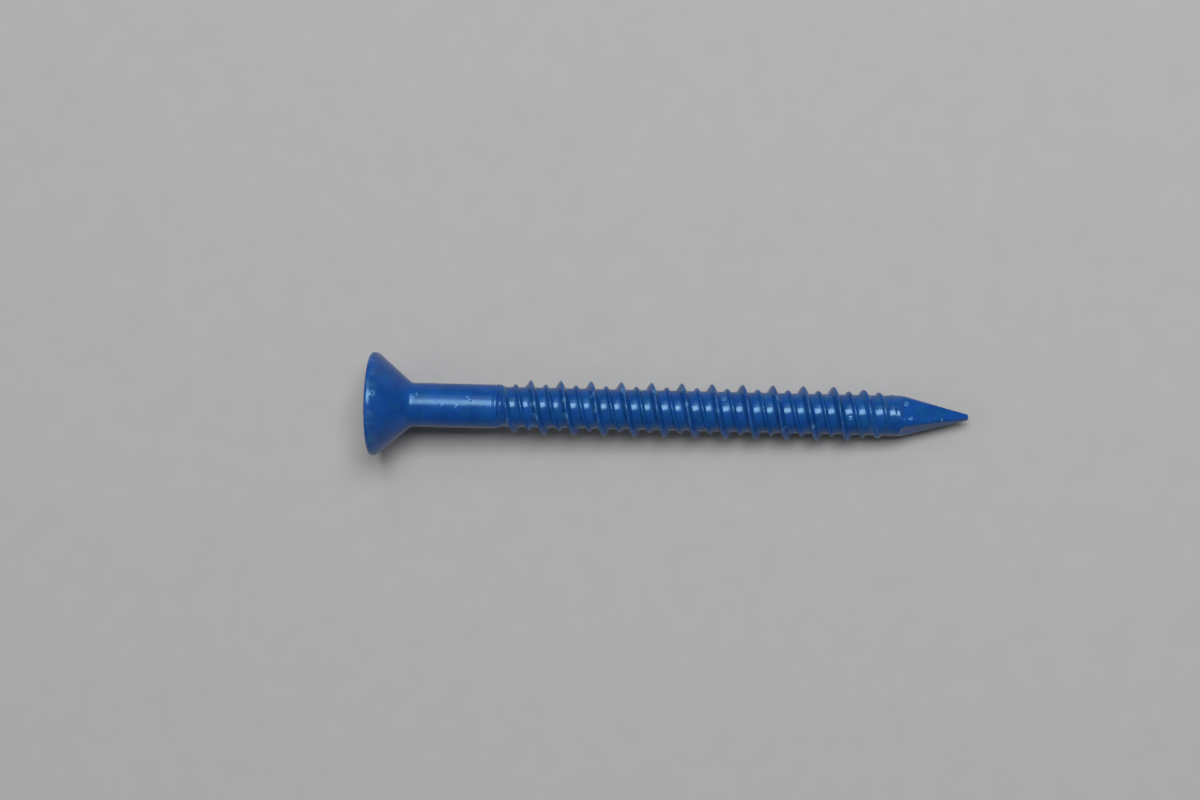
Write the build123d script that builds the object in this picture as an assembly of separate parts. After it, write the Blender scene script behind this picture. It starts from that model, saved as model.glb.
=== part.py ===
"""Countersunk masonry screw with a tall and a low thread and a four-sided nail point.

Frame: origin at the centre of the head's flat face, +X along the screw from the head to the tip, +Z up.
Angles about the screw are measured from +Y towards +Z. All lengths are in millimetres.
"""

import math
import os

from build123d import *

# Overall
OVERALL_LENGTH = 57.15  # head face to tip: 2 1/4 inch
SHANK_DIAMETER = 4.22
ROOT_DIAMETER = 3.84  # core between the threads, just under a 5/32 inch pilot hole

# Head
HEAD_DIAMETER = 9.95
HEAD_RIM_LENGTH = 0.60  # the round edge between the face and the countersink
COUNTERSINK_ANGLE = 82.0  # included angle
FACE_EDGE_RADIUS = 0.24
RIM_EDGE_RADIUS = 0.90  # or less, where the rim is too short for it
LEAST_LAND = 0.01  # plain length left between the rim's two rounded edges
NECK_RADIUS = 1.00
NECK_COLLAR = 0.35  # plain length left on the head's solid past the neck's curve

# Cross recess, number 2 size
RECESS_SPAN = 5.20  # across two opposite wings, at the face
RECESS_BOTTOM_SPAN = 2.29
RECESS_WING_SLOPE = 26.5  # of a wing's outer edge, from the axis
RECESS_WING_WIDTH = 0.72  # at the bottom
RECESS_WING_DRAFT = 5.75  # of a wing's sides
RECESS_CENTRE_DIAMETER = 1.66  # of the open middle, at the bottom
RECESS_CENTRE_DRAFT = 11.0
RECESS_BOTTOM_ANGLE = 140.0  # included angle of the conical bottom
RECESS_WING_TURNS = (0, 90)  # degrees from +Y

# Threads: a tall and a low ridge, half a lead apart, both right-handed
LEAD = 2.895
THREAD_PHASE = 0.85  # where the tall ridge's line, carried back to the head, crosses +Y
TALL_HEIGHT = 0.71
TALL_BASE_WIDTH = 0.84
TALL_CREST_WIDTH = 0.14
TALL_FADE_IN = 4.60
TALL_FADE_OUT = 7.50
LOW_HEIGHT = 0.29
LOW_BASE_WIDTH = 0.56
LOW_CREST_WIDTH = 0.16
LOW_FADE_IN = 3.00
LOW_FADE_OUT = 2.60
LEAST_HEIGHT = 0.04  # share of its height that a ridge's end still has
SEAT_CLEARANCE = 0.002  # between a ridge's foot and the core it stands on
POINTS_PER_TURN = 24

# Lengths along the screw
SHANK_LENGTH = 7.43  # plain cylinder between the neck and the thread's run-down
RUN_DOWN_LENGTH = 0.35  # cone from the shank to the core
POINT_LENGTH = 6.70

# Point: a cone pinched by four flats that widen towards the tip
POINT_ROUND_LENGTH = 0.55  # how far the core's round runs on between the flats before the cone
POINT_FLATS_BASE = 3.44  # across two opposite flats, where the point starts
POINT_FLATS_TIP = 0.40
TIP_DIAMETER = 0.54  # of the cone, at the blunt tip
POINT_TURN = 20.5  # degrees from +Y to the first of the four ridges
POINT_RIDGE_TO_FLAT = 45.0  # degrees from a ridge to the middle of the flat beside it

CUT_MARGIN = 0.20  # how far cutting bodies run past the face that they cut

# Places along X
head_radius = HEAD_DIAMETER / 2
shank_radius = SHANK_DIAMETER / 2
root_radius = ROOT_DIAMETER / 2
half_countersink = math.radians(COUNTERSINK_ANGLE / 2)
neck_corner = HEAD_RIM_LENGTH + (head_radius - shank_radius) / math.tan(half_countersink)
neck_end = neck_corner + NECK_RADIUS * math.tan(half_countersink / 2) + NECK_COLLAR
shank_end = neck_end + SHANK_LENGTH
core_start = shank_end + RUN_DOWN_LENGTH
point_start = OVERALL_LENGTH - POINT_LENGTH
cone_start = point_start + POINT_ROUND_LENGTH


def across(x):
    """The plane square to the screw at x, with its own X axis along +Y and its Y axis along +Z."""
    return Plane(origin=(x, 0, 0), x_dir=(0, 1, 0), z_dir=(1, 0, 0))


def rod(start, end, start_radius, end_radius):
    """A cylinder or a cone between two places along the screw."""
    corners = [(start, 0), (start, start_radius), (end, end_radius)]
    if end_radius > 0:
        corners.append((end, 0))
    return revolve(make_face(Polyline(*corners, close=True)), Axis.X)


def tapered_bar(start, end, start_size, end_size, turn=0.0):
    """A bar of rectangular section whose two sides each taper evenly, turned about the screw."""
    ends = [across(x) * Rectangle(*size) for x, size in ((start, start_size), (end, end_size))]
    return Rot(X=turn) * loft(ends, ruled=True)


def cross_recess():
    """The driver's room: two crossed wings, the open middle and the conical bottom."""
    depth = (RECESS_SPAN - RECESS_BOTTOM_SPAN) / 2 / math.tan(math.radians(RECESS_WING_SLOPE))

    def grown(size, slope, length):
        return size + 2 * length * math.tan(math.radians(slope))

    rise = depth + CUT_MARGIN
    mouth = (
        grown(RECESS_BOTTOM_SPAN, RECESS_WING_SLOPE, rise),
        grown(RECESS_WING_WIDTH, RECESS_WING_DRAFT, rise),
    )
    bottom = (RECESS_BOTTOM_SPAN, RECESS_WING_WIDTH)
    wings = [tapered_bar(-CUT_MARGIN, depth, mouth, bottom, turn) for turn in RECESS_WING_TURNS]
    centre_radius = RECESS_CENTRE_DIAMETER / 2
    centre_mouth = grown(RECESS_CENTRE_DIAMETER, RECESS_CENTRE_DRAFT, rise) / 2
    centre = rod(-CUT_MARGIN, depth, centre_mouth, centre_radius)
    cone_length = centre_radius / math.tan(math.radians(RECESS_BOTTOM_ANGLE / 2))
    tip = rod(depth, depth + cone_length, centre_radius, 0)
    return wings[0] + wings[1] + centre + tip


def make_head():
    """Flat face, rounded rim, countersink and curved neck in one turned body, with the recess cut in."""
    corners = [
        (0, 0),
        (0, head_radius),
        (HEAD_RIM_LENGTH, head_radius),
        (neck_corner, shank_radius),
        (neck_end, shank_radius),
        (neck_end, 0),
    ]
    room = HEAD_RIM_LENGTH - FACE_EDGE_RADIUS - LEAST_LAND
    rim_radius = min(RIM_EDGE_RADIUS, room / math.tan(half_countersink / 2))
    radii = [0, FACE_EDGE_RADIUS, rim_radius, NECK_RADIUS, 0, 0]
    outline = FilletPolyline(*corners, radius=radii, close=True)
    return revolve(make_face(outline), Axis.X) - cross_recess()


def make_shank():
    """The plain cylinder under the head."""
    return rod(neck_end, shank_end, shank_radius, shank_radius)


def make_core():
    """The round core that carries both threads, with its run-down from the shank."""
    return rod(shank_end, core_start, shank_radius, root_radius) + rod(
        core_start, point_start, root_radius, root_radius
    )


def share_of_height(x, first, last, fade_in, fade_out):
    """From LEAST_HEIGHT at a ridge's ends to 1 where it is full."""
    rise = min(1.0, (x - first) / fade_in, (last - x) / fade_out)
    return LEAST_HEIGHT + (1 - LEAST_HEIGHT) * math.sin(math.pi / 2 * max(0.0, rise))


def make_ridge(height, base_width, crest_width, phase, fade_in, fade_out):
    """A right-handed helical ridge that stands on the core, from its run-down to the point."""
    foot = root_radius + SEAT_CLEARANCE
    first = core_start + base_width / 2
    last = point_start - base_width / 2
    steps = math.ceil((last - first) / LEAD * POINTS_PER_TURN)
    spines = [[], [], [], []]
    for step in range(steps + 1):
        x = first + (last - first) * step / steps
        share = share_of_height(x, first, last, fade_in, fade_out)
        angle = 2 * math.pi * (x - phase) / LEAD
        crest = root_radius + height * share
        half_crest = crest_width / 2
        half_base = half_crest + (base_width - crest_width) / 2 * share
        section = [(-half_base, foot), (-half_crest, crest), (half_crest, crest), (half_base, foot)]
        for spine, (along, radius) in zip(spines, section):
            spine.append((x + along, radius * math.cos(angle), radius * math.sin(angle)))
    marks = [step / steps for step in range(steps + 1)]
    edges = [Edge.make_spline([Vector(*p) for p in spine], parameters=marks) for spine in spines]
    sides = [Face.make_surface_from_curves(edges[i - 1], edge) for i, edge in enumerate(edges)]
    ends = [
        make_face(Polyline(*[spine[index] for spine in spines], close=True).edges())
        for index in (0, -1)
    ]
    return Solid(Shell(sides + [face for end in ends for face in end.faces()]))


def make_point():
    """The four-sided point: a blunt cone pinched between two pairs of flats."""
    round_bar = rod(point_start, cone_start, root_radius, root_radius)
    cone = rod(cone_start, OVERALL_LENGTH, root_radius, TIP_DIAMETER / 2)
    base = (POINT_FLATS_BASE, POINT_FLATS_BASE)
    tip = (POINT_FLATS_TIP, POINT_FLATS_TIP)
    turn = POINT_TURN + POINT_RIDGE_TO_FLAT
    return (round_bar + cone) & tapered_bar(point_start, OVERALL_LENGTH, base, tip, turn)


def main():
    tall = make_ridge(
        TALL_HEIGHT, TALL_BASE_WIDTH, TALL_CREST_WIDTH, THREAD_PHASE, TALL_FADE_IN, TALL_FADE_OUT
    )
    low = make_ridge(
        LOW_HEIGHT, LOW_BASE_WIDTH, LOW_CREST_WIDTH, THREAD_PHASE + LEAD / 2, LOW_FADE_IN, LOW_FADE_OUT
    )
    parts = {
        "head": make_head(),
        "shank": make_shank(),
        "thread_core": make_core(),
        "high_thread": tall,
        "low_thread": low,
        "point": make_point(),
    }
    os.makedirs("parts", exist_ok=True)
    for name, part in parts.items():
        part.label = name
        export_step(part, f"parts/{name}.step")
        print(name, "valid", part.is_valid, "volume", round(part.volume, 2))


main()
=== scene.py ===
import math

import bmesh
import bpy
import numpy as np
from mathutils import Euler, Matrix, Vector


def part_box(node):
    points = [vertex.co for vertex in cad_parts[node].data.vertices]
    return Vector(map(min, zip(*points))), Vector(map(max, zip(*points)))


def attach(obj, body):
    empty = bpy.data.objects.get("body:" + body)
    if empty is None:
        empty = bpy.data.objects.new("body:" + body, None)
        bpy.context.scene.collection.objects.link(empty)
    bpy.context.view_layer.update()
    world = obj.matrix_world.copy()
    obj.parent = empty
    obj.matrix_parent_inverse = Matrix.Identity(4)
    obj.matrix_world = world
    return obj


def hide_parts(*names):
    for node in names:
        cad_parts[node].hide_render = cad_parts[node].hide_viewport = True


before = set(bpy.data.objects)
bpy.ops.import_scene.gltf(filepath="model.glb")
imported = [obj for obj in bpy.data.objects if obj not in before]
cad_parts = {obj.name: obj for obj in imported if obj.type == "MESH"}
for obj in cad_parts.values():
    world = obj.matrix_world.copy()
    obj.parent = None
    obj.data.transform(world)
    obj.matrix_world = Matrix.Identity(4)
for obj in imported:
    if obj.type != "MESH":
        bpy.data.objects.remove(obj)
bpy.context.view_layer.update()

MM = 0.001
SEED = 41
AROUND = 208  # points round the screw
AROUND_HEAD = 416  # points round the head, which is wider
SHARP = math.radians(42)  # edges that turn more than this are shaded as corners
WELD = 2e-7  # metres

# ---------------------------------------------------------------- places, in mm, from the CAD boxes


def box_mm(node):
    low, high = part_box(node)
    return [v / MM for v in low], [v / MM for v in high]


NECK_END, _, R_HEAD = box_mm("head")[1]
SHANK_END, _, R_SHANK = box_mm("shank")[1]
POINT_START, TIP = (corner[0] for corner in box_mm("point"))
R_HIGH = box_mm("high_thread")[1][2]
R_LOW = box_mm("low_thread")[1][2]
R_ROOT = 1.92  # of the core between the ridges

# ---------------------------------------------------------------- shapes in common


def smooth_step(t):
    return t * t * (3 - 2 * t)


def bell(distance, width, power=2):
    """1 at no distance, falling to nothing past the width; a higher power makes its top flatter."""
    return np.exp(-((distance / width) ** power))


def around(x, radius, angle):
    return np.stack([x, radius * np.cos(angle), radius * np.sin(angle)], axis=1)


def whole_turn(count):
    return 2 * math.pi * np.arange(count) / count


# ---------------------------------------------------------------- the coating's unevenness


def waves(points, seed, per_mm, count=14):
    """Smooth seeded noise, about -1 to 1: a sum of plane waves in random directions."""
    rng = np.random.default_rng(seed)
    total = np.zeros(len(points))
    for _ in range(count):
        way = rng.normal(size=3)
        way *= per_mm * rng.uniform(0.6, 1.7) / np.linalg.norm(way)
        total += np.sin(points @ way * 2 * math.pi + rng.uniform(0, 2 * math.pi))
    return total / math.sqrt(count)


# Popped bubbles in the coating on the side that faces up as the screw lies: (mm from the head's face,
# degrees from +Y towards +Z, ring radius, height).
SPOTS = [
    (0.8, 78, 0.19, 0.045),
    (4.2, 66, 0.14, 0.030),
    (4.6, 60, 0.09, 0.030),
    (7.0, 90, 0.12, 0.022),
    (8.4, 92, 0.13, 0.022),
    (9.5, 69, 0.15, 0.030),
    (9.9, 74, 0.10, 0.025),
    (13.3, 123, 0.11, 0.035),
    (15.7, 82, 0.16, 0.050),
    (16.0, 110, 0.20, 0.050),
    (15.6, 155, 0.22, 0.050),
    (18.7, 72, 0.15, 0.040),
    (18.9, 107, 0.18, 0.045),
    (21.4, 58, 0.15, 0.040),
    (21.7, 95, 0.16, 0.040),
    (24.3, 42, 0.17, 0.060),
    (24.4, 51, 0.11, 0.045),
    (27.3, 44, 0.19, 0.055),
    (30.0, 34, 0.16, 0.045),
    (30.4, 76, 0.14, 0.035),
    (33.3, 87, 0.14, 0.035),
    (33.9, 50, 0.15, 0.040),
    (39.1, 56, 0.16, 0.040),
    (39.7, 127, 0.12, 0.040),
    (42.4, 119, 0.13, 0.055),
    (45.9, 100, 0.13, 0.035),
    (51.2, 45, 0.16, 0.030),
    (51.6, 98, 0.13, 0.030),
    (52.4, 111, 0.07, 0.015),
    (53.3, 110, 0.08, 0.020),
    (54.6, 109, 0.09, 0.030),
]
SEEDED_SPOTS = 46
SEEDED_RANGES = ((3.0, 54.5), (150, 390), (0.08, 0.2), (0.02, 0.05))  # of the same four values


def all_spots():
    """The spots above, and seeded ones on the sides that they leave bare."""
    rng = np.random.default_rng(SEED)
    return SPOTS + [tuple(rng.uniform(*ends) for ends in SEEDED_RANGES) for _ in range(SEEDED_SPOTS)]


ALL_SPOTS = all_spots()
WALL_WIDTH = 0.36  # of a bubble's wall, as a share of its ring radius
PIT_WIDTH = 0.55  # of the pit inside it
WALL_GAIN = 1.3  # how far a wall stands off for its height
TALLEST_WALL = 0.05  # height at which a wall is palest: its coating thinnest and its painted highlight fullest
LIP_WEAR, LIP_WEAR_WIDTH, LIP_WEAR_DEPTH = 0.55, 0.10, 0.14  # on the recess's lip


def near_spots(x, angle, radius):
    """For each spot: which points are near it, their distance from its middle, its ring and its height."""
    for at, degrees, ring, height in ALL_SPOTS:
        near = np.abs(x - at) < 4 * ring
        turn = (angle[near] - math.radians(degrees) + math.pi) % (2 * math.pi) - math.pi
        yield near, np.hypot(x[near] - at, turn * radius[near]), ring, height


def ring_wall(apart, ring):
    """1 on the ring that a bubble left standing, falling to nothing on both sides."""
    return bell(apart - ring, WALL_WIDTH * ring)


def coating(x, angle, radius):
    """How far the coating stands off the plain surface, in mm."""
    points = around(x, radius, angle)
    off = 0.0040 * waves(points, SEED + 1, 0.30) + 0.0010 * waves(points, SEED + 2, 1.1)
    for near, apart, ring, height in near_spots(x, angle, radius):
        off[near] += WALL_GAIN * height * (ring_wall(apart, ring) - 0.5 * bell(apart, PIT_WIDTH * ring))
    return off


def thin_coat_and_ring_highlight(verts_mm):
    """How pale the coating is painted, 0 to 1: on the bubbles' walls, where it is thinner and a highlight is
    painted on, and on the recess's lip, where it is worn.
    """
    x, y, z = verts_mm.T
    angle, radius = np.arctan2(z, y), np.hypot(y, z)
    thin_and_highlight = np.zeros(len(x))
    for near, apart, ring, height in near_spots(x, angle, radius):
        thin_and_highlight[near] = np.maximum(thin_and_highlight[near], ring_wall(apart, ring) * height / TALLEST_WALL)
    lip = bell(radius - recess_outline(0.0, angle), LIP_WEAR_WIDTH) * (x < LIP_WEAR_DEPTH)
    return np.clip(np.maximum(thin_and_highlight, LIP_WEAR * lip), 0, 1)


# ---------------------------------------------------------------- mesh making


def make_piece(name, node, verts_mm, faces, weld=False, caps=()):
    """A closed smooth mesh that stands for one CAD node. An open end at a place in caps is filled."""
    mesh = bpy.data.meshes.new(name)
    mesh.from_pydata((verts_mm * MM).tolist(), [], faces)
    # How pale each point is painted: thinner coating and a painted highlight on the bubbles' walls, wear on
    # the recess's lip.
    thin_and_highlight_layer = mesh.attributes.new("thin_coat_and_ring_highlight", "FLOAT", "POINT")
    thin_and_highlight_layer.data.foreach_set("value", thin_coat_and_ring_highlight(verts_mm))
    bm = bmesh.new()
    bm.from_mesh(mesh)
    if weld:
        bmesh.ops.remove_doubles(bm, verts=bm.verts, dist=WELD)
    for cap in caps:
        open_edges = [e for e in bm.edges if e.is_boundary]
        ring = [e for e in open_edges if all(abs(v.co.x - cap * MM) < WELD / 2 for v in e.verts)]
        bmesh.ops.contextual_create(bm, geom=ring)
    bmesh.ops.recalc_face_normals(bm, faces=bm.faces)
    for face in bm.faces:
        face.smooth = True
    bm.to_mesh(mesh)
    bm.free()
    mesh.set_sharp_from_angle(angle=SHARP)
    piece = bpy.data.objects.new(name, mesh)
    bpy.context.scene.collection.objects.link(piece)
    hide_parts(node)
    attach(piece, "root")
    return piece


def turned(name, node, rows):
    """Rings of points, each row a pair of arrays (x, radius), joined and closed at both ends."""
    count = len(rows[0][0])
    verts = np.concatenate([around(x, r, whole_turn(count)) for x, r in rows])
    faces = []
    for start in range(0, (len(rows) - 1) * count, count):
        for i in range(count):
            j = (i + 1) % count
            faces.append((start + i, start + j, start + count + j, start + count + i))
    faces.append(tuple(range(count)))
    faces.append(tuple(range(len(verts) - count, len(verts))))
    return make_piece(name, node, verts, faces)


# ---------------------------------------------------------------- head

HALF_COUNTERSINK = math.radians(41)
RIM_LENGTH = 0.60  # from the face to where the cone's line reaches the head's full width
FACE_EDGE, RIM_EDGE, NECK = 0.25, 0.90, 1.0  # radii of the two rounded edges and of the neck's curve

RECESS_DEPTH = 2.92  # to the start of its conical bottom
RECESS_WALL = (2.88, 0.16)  # depths of the first and the last ring of points on its walls
RECESS_BOTTOM = ((3.20, 0.04), (3.10, 0.35), (3.0, 0.7), (2.93, 0.93))  # depth, share of the bottom's width
WING_REACH, WING_SLOPE = 1.145, math.tan(math.radians(26.5))  # from the axis at the bottom, and its growth
WING_HALF_WIDTH, WING_DRAFT = 0.36, math.tan(math.radians(5.75))
MIDDLE_RADIUS, MIDDLE_DRAFT = 0.83, math.tan(math.radians(11))
CORNER_POWER, JOIN_POWER = 9, 14  # sharpness of the wings' corners and of where they meet the middle
LIP_RADIUS = (0.12, 0.10)  # of the recess's rounded lip: along the screw, across it
LIP_INSET = 0.02  # how far the lip starts inside the wall
FACE_DISH = 0.012  # how far the face is hollowed at most


def arc(centre, radius, start, end, count):
    """Points of an arc in the plane of (x, radius), angles in degrees."""
    return [
        (centre[0] + radius * math.cos(math.radians(a)), centre[1] + radius * math.sin(math.radians(a)))
        for a in np.linspace(start, end, count)
    ]


def head_outline():
    """From the face's edge over the rounded rim, the countersink and the neck to the shank."""
    slope = math.tan(HALF_COUNTERSINK)
    corner = RIM_LENGTH + (R_HEAD - R_SHANK) / slope
    rim_cut = RIM_EDGE * math.tan(HALF_COUNTERSINK / 2)
    neck_cut = NECK * math.tan(HALF_COUNTERSINK / 2)
    lean = math.degrees(HALF_COUNTERSINK)
    points = arc((FACE_EDGE, R_HEAD - FACE_EDGE), FACE_EDGE, 180, 90, 9)
    points += arc((RIM_LENGTH - rim_cut, R_HEAD - RIM_EDGE), RIM_EDGE, 90, 90 - lean, 13)
    away = np.array([math.cos(HALF_COUNTERSINK), -math.sin(HALF_COUNTERSINK)])
    cone_start = np.array([RIM_LENGTH, R_HEAD]) + rim_cut * away
    cone_end = np.array([corner, R_SHANK]) - neck_cut * away
    points += [tuple(cone_start + (cone_end - cone_start) * t) for t in np.linspace(0, 1, 44)[1:-1]]
    points += arc((corner + neck_cut, R_SHANK + NECK), NECK, 270 - lean, 270, 12)
    points += [(x, R_SHANK) for x in np.linspace(corner + neck_cut, NECK_END, 7)[1:]]
    return points


def recess_outline(depth, angle):
    """Radius of the cross recess at a depth, for every angle: four wings round an open middle."""
    left = RECESS_DEPTH - depth
    reach = WING_REACH + left * WING_SLOPE
    half_width = WING_HALF_WIDTH + left * WING_DRAFT
    joined = (MIDDLE_RADIUS + left * MIDDLE_DRAFT) ** JOIN_POWER
    for turn in (0, math.pi / 2):
        along, across = np.abs(np.cos(angle - turn)), np.abs(np.sin(angle - turn))
        corners = (along / reach) ** CORNER_POWER + (across / half_width) ** CORNER_POWER
        joined = joined + corners ** (-JOIN_POWER / CORNER_POWER)
    return joined ** (1 / JOIN_POWER)


def recess_rows(angle):
    """From the middle of the recess's bottom up its walls and over its rounded lip."""
    count = len(angle)
    bottom = recess_outline(RECESS_DEPTH, angle)
    rows = [(np.full(count, depth), bottom * share) for depth, share in RECESS_BOTTOM]
    for depth in np.linspace(*RECESS_WALL, 26):
        rows.append((np.full(count, depth), recess_outline(depth, angle)))
    lip = recess_outline(0.0, angle)
    for turn in np.radians(np.linspace(15, 90, 6)):
        depth = LIP_RADIUS[0] * (1 - math.sin(turn))
        rows.append((np.full(count, depth), lip + LIP_RADIUS[1] * (1 - math.cos(turn)) - LIP_INSET))
    return rows


def face_rows(angle):
    """The flat face between the recess and the rim, a little hollow in places."""
    inner = recess_outline(0.0, angle) + LIP_RADIUS[1] - LIP_INSET
    outer = R_HEAD - FACE_EDGE
    rows = []
    for share in np.linspace(0, 1, 18)[1:-1]:
        radius = inner + (outer - inner) * share
        uneven = 0.5 + 0.5 * waves(around(np.zeros(len(angle)), radius, angle), SEED + 5, 0.45)
        dish = FACE_DISH * uneven * math.sin(math.pi * share)
        rows.append((np.clip(dish, 0.0, None), radius))
    return rows


def make_head():
    """The recess, the face and the coated outside, where the coating stands off square to the surface."""
    angle = whole_turn(AROUND_HEAD)
    rows = recess_rows(angle) + face_rows(angle)
    for x, r in head_outline():
        xs, rs = np.full(AROUND_HEAD, x), np.full(AROUND_HEAD, r)
        off = coating(xs, angle, rs)
        on_cone = x > RIM_LENGTH and r > R_SHANK + 0.3
        lean = HALF_COUNTERSINK if on_cone else 0.0
        grown = np.minimum(rs + off * math.cos(lean), R_HEAD)
        rows.append((np.clip(xs + off * math.sin(lean), 0.0, None), grown))
    rows[-1] = (np.full(AROUND_HEAD, NECK_END), rows[-1][1])
    return turned("head_coated", "head", rows)


# ---------------------------------------------------------------- shank

MARKS_MIDDLE, MARKS_REACH, MARKS_HEIGHT, MARKS_PITCH = 12.55, 0.70, 0.034, 0.32
PLAIN_END = 11.6  # rows stand closer together past this, for the marks


def marks(x):
    """Fine rings that the thread rolls left where the thread starts."""
    there = bell(x - MARKS_MIDDLE, MARKS_REACH, 6)
    return MARKS_HEIGHT * there * np.sin(2 * math.pi * x / MARKS_PITCH)


def make_shank():
    angle = whole_turn(AROUND)
    rows = []
    for x in [*np.linspace(NECK_END, PLAIN_END, 116)[:-1], *np.linspace(PLAIN_END, SHANK_END, 19)]:
        xs, rs = np.full(AROUND, x), np.full(AROUND, R_SHANK)
        rows.append((xs, rs + marks(xs) + coating(xs, angle, rs)))
    return turned("shank_coated", "shank", rows)


# ---------------------------------------------------------------- thread

LEAD = 2.895
PHASE = 0.85  # where the high ridge's line, carried back to the head, crosses +Y
HIGH_BAND = (-0.55, 0.49)  # along the screw from the crest's line: towards the head, towards the tip
LOW_BAND = (-0.31, 0.30)
VALLEYS = ((HIGH_BAND[1], LEAD / 2 + LOW_BAND[0]), (LEAD / 2 + LOW_BAND[1], LEAD + HIGH_BAND[0]))
FOOT = 0.012  # the valleys' edges stand this much over R_ROOT, and their middles this much under it
BAND_EDGE = 0.12  # over which a ridge's profile ends at the edge of its band
RUN_DOWN = 0.42  # from the shank's radius to the core's
VALLEY_FADE = 0.5  # from the plain round at the core's ends to the hollow valleys
FADED = 1 / 8  # a ridge that has less than this share of its growth is fading into the core
UNDER_RIDGE = 0.045  # how far the core is sunk under a ridge
UNDER_STEP = 0.02  # along the screw, from a valley's edge to the sunk core
OVERRUN = 0.7  # how far the core's grid runs on past its ends, where it is held
END_SINK = 0.02  # how far a ridge's ends dip into the core
HIDDEN_SINK = 0.06  # how far a ridge's hidden inside lies under its foot
HIDDEN_INSET = 0.05  # how much narrower it is at each side
RIPPLE = 0.006  # of a ridge's flanks and crest


def rounded_profile(head_side, tip_side, crest, soft):
    """Share of a ridge's height against the distance from its crest line: straight flanks, blended."""
    at = np.linspace(-1.2, 1.2, 961)
    flank = np.where(at < 0, (at + head_side) / (head_side - crest), (tip_side - at) / (tip_side - crest))
    share = np.clip(flank, 0, 1)
    kernel = np.exp(-((np.arange(-160, 161) * (at[1] - at[0]) / soft) ** 2) / 2)
    share = np.convolve(share, kernel / kernel.sum(), mode="same")
    return at, share / share.max()


HIGH_PROFILE = rounded_profile(head_side=0.46, tip_side=0.40, crest=0.075, soft=0.060)
LOW_PROFILE = rounded_profile(head_side=0.29, tip_side=0.27, crest=0.075, soft=0.052)


def window(profile, at, band):
    """Takes a ridge's profile down to exactly nothing at the edges of its band."""
    level = np.interp(at, *profile)
    edge = np.minimum((at - band[0]) / BAND_EDGE, (band[1] - at) / BAND_EDGE)
    return level * np.clip(edge, 0, 1)


def growth_between(x, first, fade_in, last, fade_out, in_power=1, out_power=1):
    """0 to 1 over fade_in from where a ridge starts, and back to 0 over fade_out before it ends."""
    start = np.clip((x - first) / fade_in, 0, 1)
    end = np.clip((last - x) / fade_out, 0, 1)
    return np.sin(start * math.pi / 2) ** in_power * np.sin(end * math.pi / 2) ** out_power


def high_growth(x):
    return growth_between(
        x, first=11.9, fade_in=4.2, last=50.35, fade_out=6.2, in_power=0.8, out_power=1.15
    )


def low_growth(x):
    return growth_between(x, first=12.6, fade_in=1.6, last=50.2, fade_out=2.2)


def level_at(u, x):
    """Radius of the core at a distance u past the high crest's line, hollow between the ridges."""
    radius = np.full(np.shape(u), R_ROOT + FOOT)
    for low, high in VALLEYS:
        inside = (u >= low) & (u <= high)
        across = (u - (low + high) / 2) / ((high - low) / 2)
        radius = np.where(inside, R_ROOT - FOOT + 2 * FOOT * across**2, radius)
    hollow = np.clip((x - SHANK_END) / VALLEY_FADE, 0, 1) * np.clip((POINT_START - x) / VALLEY_FADE, 0, 1)
    radius = R_ROOT + (radius - R_ROOT) * hollow
    run_down = smooth_step(np.clip((x - SHANK_END) / RUN_DOWN, 0, 1))
    return radius + (R_SHANK - R_ROOT) * (1 - run_down)


def wound(column, u, phase):
    """A grid wound round the screw, one row for each column number, AROUND of them to the turn: places
    along the screw, the same places held between the shank and the point, distances u and angles."""
    x = (phase + LEAD * column / AROUND)[:, None] + u[None, :]
    spread = np.repeat(u[None, :], len(column), axis=0)
    angle = np.repeat((2 * math.pi * (column % AROUND) / AROUND)[:, None], len(u), axis=1)
    return x, np.clip(x, SHANK_END, POINT_START), spread, angle


def on_grid(field, *grids):
    """The values over grids of a field that takes flat arrays."""
    return field(*(grid.ravel() for grid in grids)).reshape(grids[0].shape)


def core_columns():
    """Distances past the high crest's line that make up one lead of the core, and which lie under a ridge."""
    low_band = (LEAD / 2 + LOW_BAND[0], LEAD / 2 + LOW_BAND[1])
    u, sunk = [], []
    for (low, high), valley in zip((HIGH_BAND, low_band), VALLEYS):
        u += [low, low + UNDER_STEP, (low + high) / 2, high - UNDER_STEP]
        sunk += [0, 1, 1, 1]
        u += list(np.linspace(*valley, 11)[:-1])
        sunk += [0] * 10
    return np.array(u), np.array(sunk)


def make_core():
    """The core between the ridges, wound with them; it steps down a little under each ridge."""
    u, sunk = core_columns()
    width = len(u)
    first = math.floor((SHANK_END - PHASE - LEAD - OVERRUN) / LEAD * AROUND)
    last = math.ceil((POINT_START - PHASE + OVERRUN) / LEAD * AROUND)
    column = np.arange(first, last + AROUND + 1)
    _, held, spread, angle = wound(column, u, PHASE)
    radius = level_at(spread, held)
    for end, plain in ((SHANK_END, R_SHANK), (POINT_START, R_ROOT)):
        radius = np.where(held == end, plain, radius)
    off = on_grid(coating, held, angle, radius)
    ridge = np.where(spread < HIGH_BAND[1], high_growth(held), low_growth(held))
    radius = radius + off + marks(held) - UNDER_RIDGE * sunk[None, :] * np.clip(ridge / FADED, 0, 1)
    verts = around(held.ravel(), radius.ravel(), angle.ravel())
    faces = []
    for i in range(len(column) - 1 - AROUND):
        for j in range(width):
            if j + 1 < width:
                right, right_next = i * width + j + 1, (i + 1) * width + j + 1
            else:
                right, right_next = (i + AROUND) * width, (i + 1 + AROUND) * width
            faces.append((i * width + j, right, right_next, (i + 1) * width + j))
    used = sorted({v for f in faces for v in f})
    place = {v: n for n, v in enumerate(used)}
    faces = [tuple(place[v] for v in f) for f in faces]
    ends = (SHANK_END, POINT_START)
    return make_piece("core_coated", "thread_core", verts[used], faces, weld=True, caps=ends)


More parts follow.
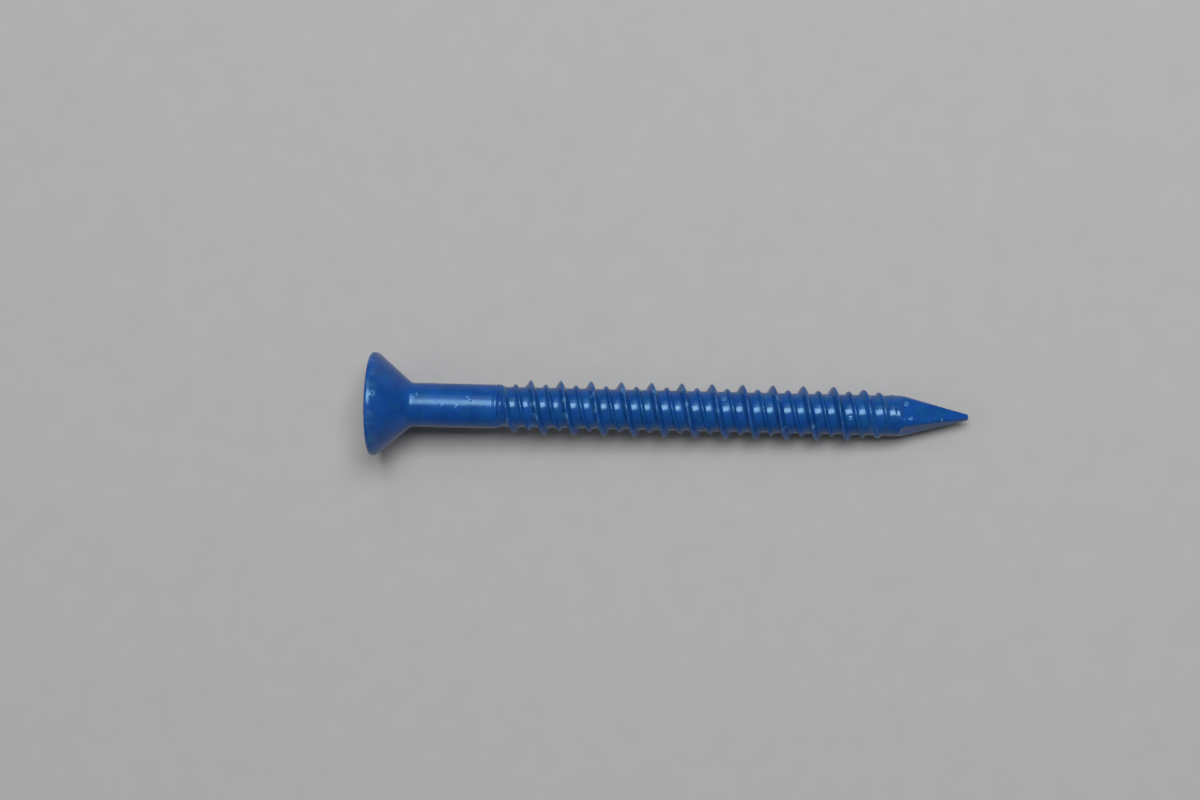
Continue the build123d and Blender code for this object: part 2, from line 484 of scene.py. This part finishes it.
def make_ridge(name, node, band, at_crest, profile, height, growth, start, end, cells):
    """One ridge as a closed body wound round the core: its outside, and a hidden inside under its foot.
    Its crest's line lies at_crest past the high one's, and its band has this many cells across."""
    half = cells // 2 + 1
    outer = np.concatenate([np.linspace(band[0], 0, half)[:-1], np.linspace(0, band[1], half)])
    inner = np.linspace(band[1] - HIDDEN_INSET, band[0] + HIDDEN_INSET, 4)
    u = np.concatenate([outer, inner])
    width = len(u)
    phase = PHASE + at_crest
    first = math.ceil((start - phase) / LEAD * AROUND)
    last = math.floor((end - phase) / LEAD * AROUND)
    column = np.arange(first, last + 1)
    x, held, spread, angle = wound(column, u, phase)
    foot = level_at(spread + at_crest, held)
    share = window(profile, spread, band) * growth(held)
    ending = 1 - np.clip(growth(held) / FADED, 0, 1)
    radius = foot + height * share - END_SINK * ending
    points = around(x.ravel(), radius.ravel(), angle.ravel())
    ripple = RIPPLE * waves(points, SEED + 9, 0.8).reshape(radius.shape) * share
    shown = radius + on_grid(coating, x, angle, radius) + marks(held) * (1 - share) + ripple
    hidden = np.arange(width) >= len(outer)
    radius = np.where(hidden[None, :], foot - HIDDEN_SINK, shown)
    radius = np.minimum(radius, R_ROOT + FOOT + height)
    verts = around(held.ravel(), radius.ravel(), angle.ravel())
    faces = []
    for i in range(len(column) - 1):
        for j in range(width):
            k = (j + 1) % width
            faces.append((i * width + j, i * width + k, (i + 1) * width + k, (i + 1) * width + j))
    faces.append(tuple(range(width)))
    faces.append(tuple((len(column) - 1) * width + j for j in range(width)))
    return make_piece(name, node, verts, faces)


# ---------------------------------------------------------------- point

FLAT_BASE, FLAT_TIP = 1.72, 0.20  # from the axis to a flat, where the point starts and at the tip
CONE_TIP, CONE_SLOPE = 0.26, 0.272  # radius at the tip, and its growth away from there
FLATS_START = 0.45  # length over which the flats sink in
FLATS_CLEAR = 0.05  # how far they lie outside the core before that
POINT_TURN = math.radians(20.5 + 45)  # from +Y to the middle of a flat
PINCH_POWER = 40  # sharpness of the edges between the flats and the cone
BLUNT = 0.24  # length of the rounded tip
RAGGED = 0.02  # how uneven it is


def point_radius(x, angle):
    """A blunt cone pinched by four flats; the flats take over towards the tip."""
    along = (x - POINT_START) / (TIP - POINT_START)
    cone = np.minimum(R_ROOT, CONE_TIP + CONE_SLOPE * (TIP - x))
    flat = FLAT_BASE + (FLAT_TIP - FLAT_BASE) * along
    sink = smooth_step(np.clip((x - POINT_START) / FLATS_START, 0, 1))
    flat = flat + (R_ROOT + FLATS_CLEAR - flat) * (1 - sink)
    turn = (angle - POINT_TURN + math.pi / 4) % (math.pi / 2) - math.pi / 4
    return (cone**-PINCH_POWER + (flat / np.cos(turn)) ** -PINCH_POWER) ** (-1 / PINCH_POWER)


def make_point():
    angle = whole_turn(AROUND)
    rows = []
    for x in np.linspace(POINT_START, TIP - BLUNT, 150):
        xs = np.full(AROUND, x)
        rs = point_radius(xs, angle)
        rows.append((xs, rs + coating(xs, angle, rs)))
    last = rows[-1][1]
    for turn in np.radians((20, 40, 60, 75, 88)):
        radius = last * math.cos(turn) ** 0.8
        ragged = RAGGED * waves(around(np.full(AROUND, TIP), radius, angle), SEED + 7, 1.5)
        rows.append((np.clip(TIP - BLUNT + BLUNT * math.sin(turn) + ragged, None, TIP), radius))
    return turned("point_coated", "point", rows)


# ---------------------------------------------------------------- material

# Places along the screw, in mm from the head's face, over which one rule of the coating gives way to the next
HEAD_TO_SHANK = (8.0, 9.0)
SHANK_TO_THREAD = (11.8, 12.8)
THREAD_TO_POINT = (50.0, 51.0)
BUMP_HEIGHT = 0.000008  # metres

class Nodes:
    """Short names for making and joining shader nodes."""

    def __init__(self, tree):
        self.tree = tree

    def add(self, kind, **settings):
        node = self.tree.nodes.new(kind)
        for key, value in settings.items():
            setattr(node, key, value)
        return node

    def join(self, source, target):
        self.tree.links.new(source, target)

    def math(self, operation, a, b=0.5, clamp=False):
        node = self.add("ShaderNodeMath", operation=operation, use_clamp=clamp)
        for socket, value in zip(node.inputs, (a, b)):
            if isinstance(value, (int, float)):
                socket.default_value = value
            else:
                self.join(value, socket)
        return node.outputs[0]

    def times(self, a, b):
        return self.math("MULTIPLY", a, b)

    def plus(self, a, b, clamp=False):
        return self.math("ADD", a, b, clamp)

    def noise(self, vector, scale, detail=3.0, rough=0.5):
        node = self.add("ShaderNodeTexNoise")
        node.inputs["Scale"].default_value = scale
        node.inputs["Detail"].default_value = detail
        node.inputs["Roughness"].default_value = rough
        self.join(vector, node.inputs["Vector"])
        return node.outputs["Fac"]

    def ramp(self, value, low, high):
        node = self.add("ShaderNodeMapRange", interpolation_type="SMOOTHSTEP")
        node.inputs["From Min"].default_value = low
        node.inputs["From Max"].default_value = high
        self.join(value, node.inputs["Value"])
        return node.outputs["Result"]

    def mix(self, factor, a, b):
        node = self.add("ShaderNodeMix", data_type="RGBA")
        self.join(factor, node.inputs["Factor"])
        for name, value in (("A", a), ("B", b)):
            socket = [s for s in node.inputs if s.name == name and s.type == "RGBA"][0]
            if isinstance(value, tuple):
                socket.default_value = (*value, 1.0)
            else:
                self.join(value, socket)
        return [s for s in node.outputs if s.type == "RGBA"][0]


def coating_material():
    """Semi-gloss blue coating over steel, uneven in colour and gloss: duller on the thread, and paler where
    it is worn or where the coating is thinner, with painted highlights on the bubbles' walls and round the
    head's rounded rim."""
    material = bpy.data.materials.new("blue_coating")
    material.use_nodes = True
    tree = material.node_tree
    tree.nodes.clear()
    n = Nodes(tree)
    shader = n.add("ShaderNodeBsdfPrincipled")
    output = n.add("ShaderNodeOutputMaterial")
    n.join(shader.outputs["BSDF"], output.inputs["Surface"])
    place = n.add("ShaderNodeTexCoord").outputs["Object"]
    scaled = n.add("ShaderNodeVectorMath", operation="SCALE")
    scaled.inputs["Scale"].default_value = 1 / MM
    n.join(place, scaled.inputs[0])
    mm = scaled.outputs["Vector"]
    axes = n.add("ShaderNodeSeparateXYZ")
    n.join(mm, axes.inputs[0])
    x, y, z = axes.outputs
    radius = n.math("SQRT", n.plus(n.times(y, y), n.times(z, z)))

    broad = n.noise(mm, 0.55, 3.0)
    fine = n.noise(mm, 3.2, 4.0, 0.6)
    grain = n.noise(mm, 11.0, 3.0, 0.6)

    deep, fair, pale = (0.004, 0.044, 0.215), (0.006, 0.062, 0.290), (0.020, 0.115, 0.350)
    colour = n.mix(n.ramp(broad, 0.30, 0.72), deep, fair)
    teal = n.ramp(n.noise(mm, 0.9, 2.0), 0.46, 0.66)
    colour = n.mix(n.times(teal, 0.42), colour, (0.005, 0.078, 0.205))
    colour = n.mix(n.times(n.ramp(fine, 0.55, 0.80), 0.30), colour, pale)

    past_shank = n.ramp(x, *SHANK_TO_THREAD)
    threaded = n.math("SUBTRACT", past_shank, n.ramp(x, *THREAD_TO_POINT))
    dull = n.times(threaded, n.ramp(fine, 0.36, 0.64))
    colour = n.mix(n.times(dull, 0.40), colour, (0.010, 0.060, 0.150))

    # Paler on the thread's crests, where the coating is worn, and round the head's rounded rim, where it is
    # worn and a highlight is painted on.
    crest = n.ramp(radius, R_HIGH - 0.16, R_HIGH - 0.02)
    rim = n.ramp(radius, R_HEAD - 0.60, R_HEAD - 0.10)
    past_head = n.ramp(x, *HEAD_TO_SHANK)
    on_head = n.math("SUBTRACT", 1.0, past_head)
    edge = n.plus(n.times(crest, past_head), n.times(rim, on_head), clamp=True)
    worn_and_rim_highlight = n.times(edge, n.ramp(n.noise(mm, 1.5, 3.0), 0.38, 0.68))
    colour = n.mix(n.times(worn_and_rim_highlight, 0.20), colour, (0.10, 0.24, 0.42))

    # Paler on the bubbles' walls, where the coating is thinner and a highlight is painted on, and on the worn
    # lip of the recess.
    thin_and_highlight = n.add("ShaderNodeAttribute", attribute_name="thin_coat_and_ring_highlight").outputs["Fac"]
    broken = n.times(thin_and_highlight, n.ramp(grain, 0.30, 0.62))
    colour = n.mix(n.times(broken, 0.85), colour, (0.12, 0.35, 0.58))
    n.join(colour, shader.inputs["Base Color"])

    before_thread = n.math("SUBTRACT", 1.0, past_shank)
    rough = n.plus(n.times(fine, 0.12), 0.12)
    rough = n.plus(rough, n.times(broad, 0.06))
    rough = n.plus(rough, n.times(before_thread, 0.05), clamp=True)
    n.join(rough, shader.inputs["Roughness"])
    shader.inputs["IOR"].default_value = 1.5
    shader.inputs["Specular Tint"].default_value = (0.42, 0.78, 1.0, 1.0)

    cells = n.add("ShaderNodeTexVoronoi", feature="F1")
    cells.inputs["Scale"].default_value = 2.6
    n.join(mm, cells.inputs["Vector"])
    pits = n.ramp(cells.outputs["Distance"], 0.05, 0.13)
    height = n.plus(n.times(fine, 0.55), n.times(grain, 0.14))
    height = n.plus(height, n.times(pits, 0.12))
    bump = n.add("ShaderNodeBump")
    bump.inputs["Strength"].default_value = 0.55
    bump.inputs["Distance"].default_value = BUMP_HEIGHT
    n.join(height, bump.inputs["Height"])
    n.join(bump.outputs["Normal"], shader.inputs["Normal"])
    return material


def floor_material():
    """Plain pale matt card."""
    material = bpy.data.materials.new("pale_floor")
    material.use_nodes = True
    n = Nodes(material.node_tree)
    shader = material.node_tree.nodes["Principled BSDF"]
    place = n.add("ShaderNodeTexCoord").outputs["Object"]
    tone = n.noise(place, 400.0, 4.0)
    n.join(n.mix(tone, (0.35, 0.35, 0.35), (0.38, 0.38, 0.38)), shader.inputs["Base Color"])
    shader.inputs["Roughness"].default_value = 0.9
    return material


# ---------------------------------------------------------------- stage, light, camera


def make_floor():
    """A flat floor under the lying screw, touching the head's rim and the last full turn of the thread."""
    rim_at, thread_at = 0.3, 44.0  # where the screw rests on it
    rise = (R_HEAD - R_HIGH) / (thread_at - rim_at)
    at = Vector((rim_at * MM, 0, -R_HEAD * MM))
    along = Vector((1, 0, rise)).normalized()
    side = Vector((0, 1, 0))
    half = 1.5  # metres
    corners = [at + along * a * half + side * b * half for a, b in ((-1, -1), (1, -1), (1, 1), (-1, 1))]
    mesh = bpy.data.meshes.new("floor")
    mesh.from_pydata(corners, [], [(0, 1, 2, 3)])
    floor = bpy.data.objects.new("floor", mesh)
    bpy.context.scene.collection.objects.link(floor)
    mesh.materials.append(floor_material())


def area_light(name, at, aim, size, power):
    """A rectangular soft light that faces aim, with the first of its two sizes kept along the screw."""
    data = bpy.data.lights.new(name, "AREA")
    data.shape = "RECTANGLE"
    data.size, data.size_y = size
    data.energy = power
    light = bpy.data.objects.new(name, data)
    back = (Vector(at) - Vector(aim)).normalized()
    side = Vector((0, 1, 0)).cross(back).normalized()
    turn = Matrix((side, back.cross(side), back)).transposed()
    light.matrix_world = Matrix.Translation(at) @ turn.to_4x4()
    bpy.context.scene.collection.objects.link(light)


def make_lights():
    middle = (TIP / 2 * MM, 0, 0)
    area_light("soft_key", (0.06, 0.165, 0.50), middle, (0.30, 0.23), 2.90)
    area_light("soft_side", (-0.07, 0.56, 0.60), middle, (0.30, 0.30), 0.50)
    area_light("soft_face", (-0.55, 0.02, 0.38), middle, (0.40, 0.40), 0.55)
    world = bpy.data.worlds.new("studio")
    world.use_nodes = True
    background = world.node_tree.nodes["Background"]
    background.inputs["Color"].default_value = (0.92, 0.92, 0.93, 1)
    background.inputs["Strength"].default_value = 0.12
    bpy.context.scene.world = world


def make_camera():
    """Straight above the screw, 250 mm from its axis, with a long lens."""
    data = bpy.data.cameras.new("camera")
    data.sensor_width = 36.0
    data.lens = 78.56
    data.shift_x = -0.0622
    data.clip_start, data.clip_end = 0.001, 10.0
    camera = bpy.data.objects.new("camera", data)
    camera.location = (0.03875, 0.00102, 0.25)
    tilt, roll = math.radians(2.2), math.radians(1.319)  # about +Y, then about the line of sight
    turn = Euler((0, tilt, 0)).to_matrix() @ Euler((0, 0, roll)).to_matrix()
    camera.rotation_euler = turn.to_euler()
    bpy.context.scene.collection.objects.link(camera)
    bpy.context.scene.camera = camera


coat = coating_material()
pieces = [
    make_head(),
    make_shank(),
    make_core(),
    make_ridge(
        "high_thread_coated",
        "high_thread",
        band=HIGH_BAND,
        at_crest=0.0,
        profile=HIGH_PROFILE,
        height=R_HIGH - R_ROOT - FOOT - RIPPLE,
        growth=high_growth,
        start=SHANK_END + 0.1,
        end=POINT_START - 0.35,
        cells=24,
    ),
    make_ridge(
        "low_thread_coated",
        "low_thread",
        band=LOW_BAND,
        at_crest=LEAD / 2,
        profile=LOW_PROFILE,
        height=R_LOW - R_ROOT - FOOT,
        growth=low_growth,
        start=SHANK_END + 0.7,
        end=POINT_START - 0.4,
        cells=14,
    ),
    make_point(),
]
for piece in pieces:
    piece.data.materials.append(coat)
make_floor()
make_lights()
make_camera()
bpy.context.scene.view_settings.view_transform = "Standard"
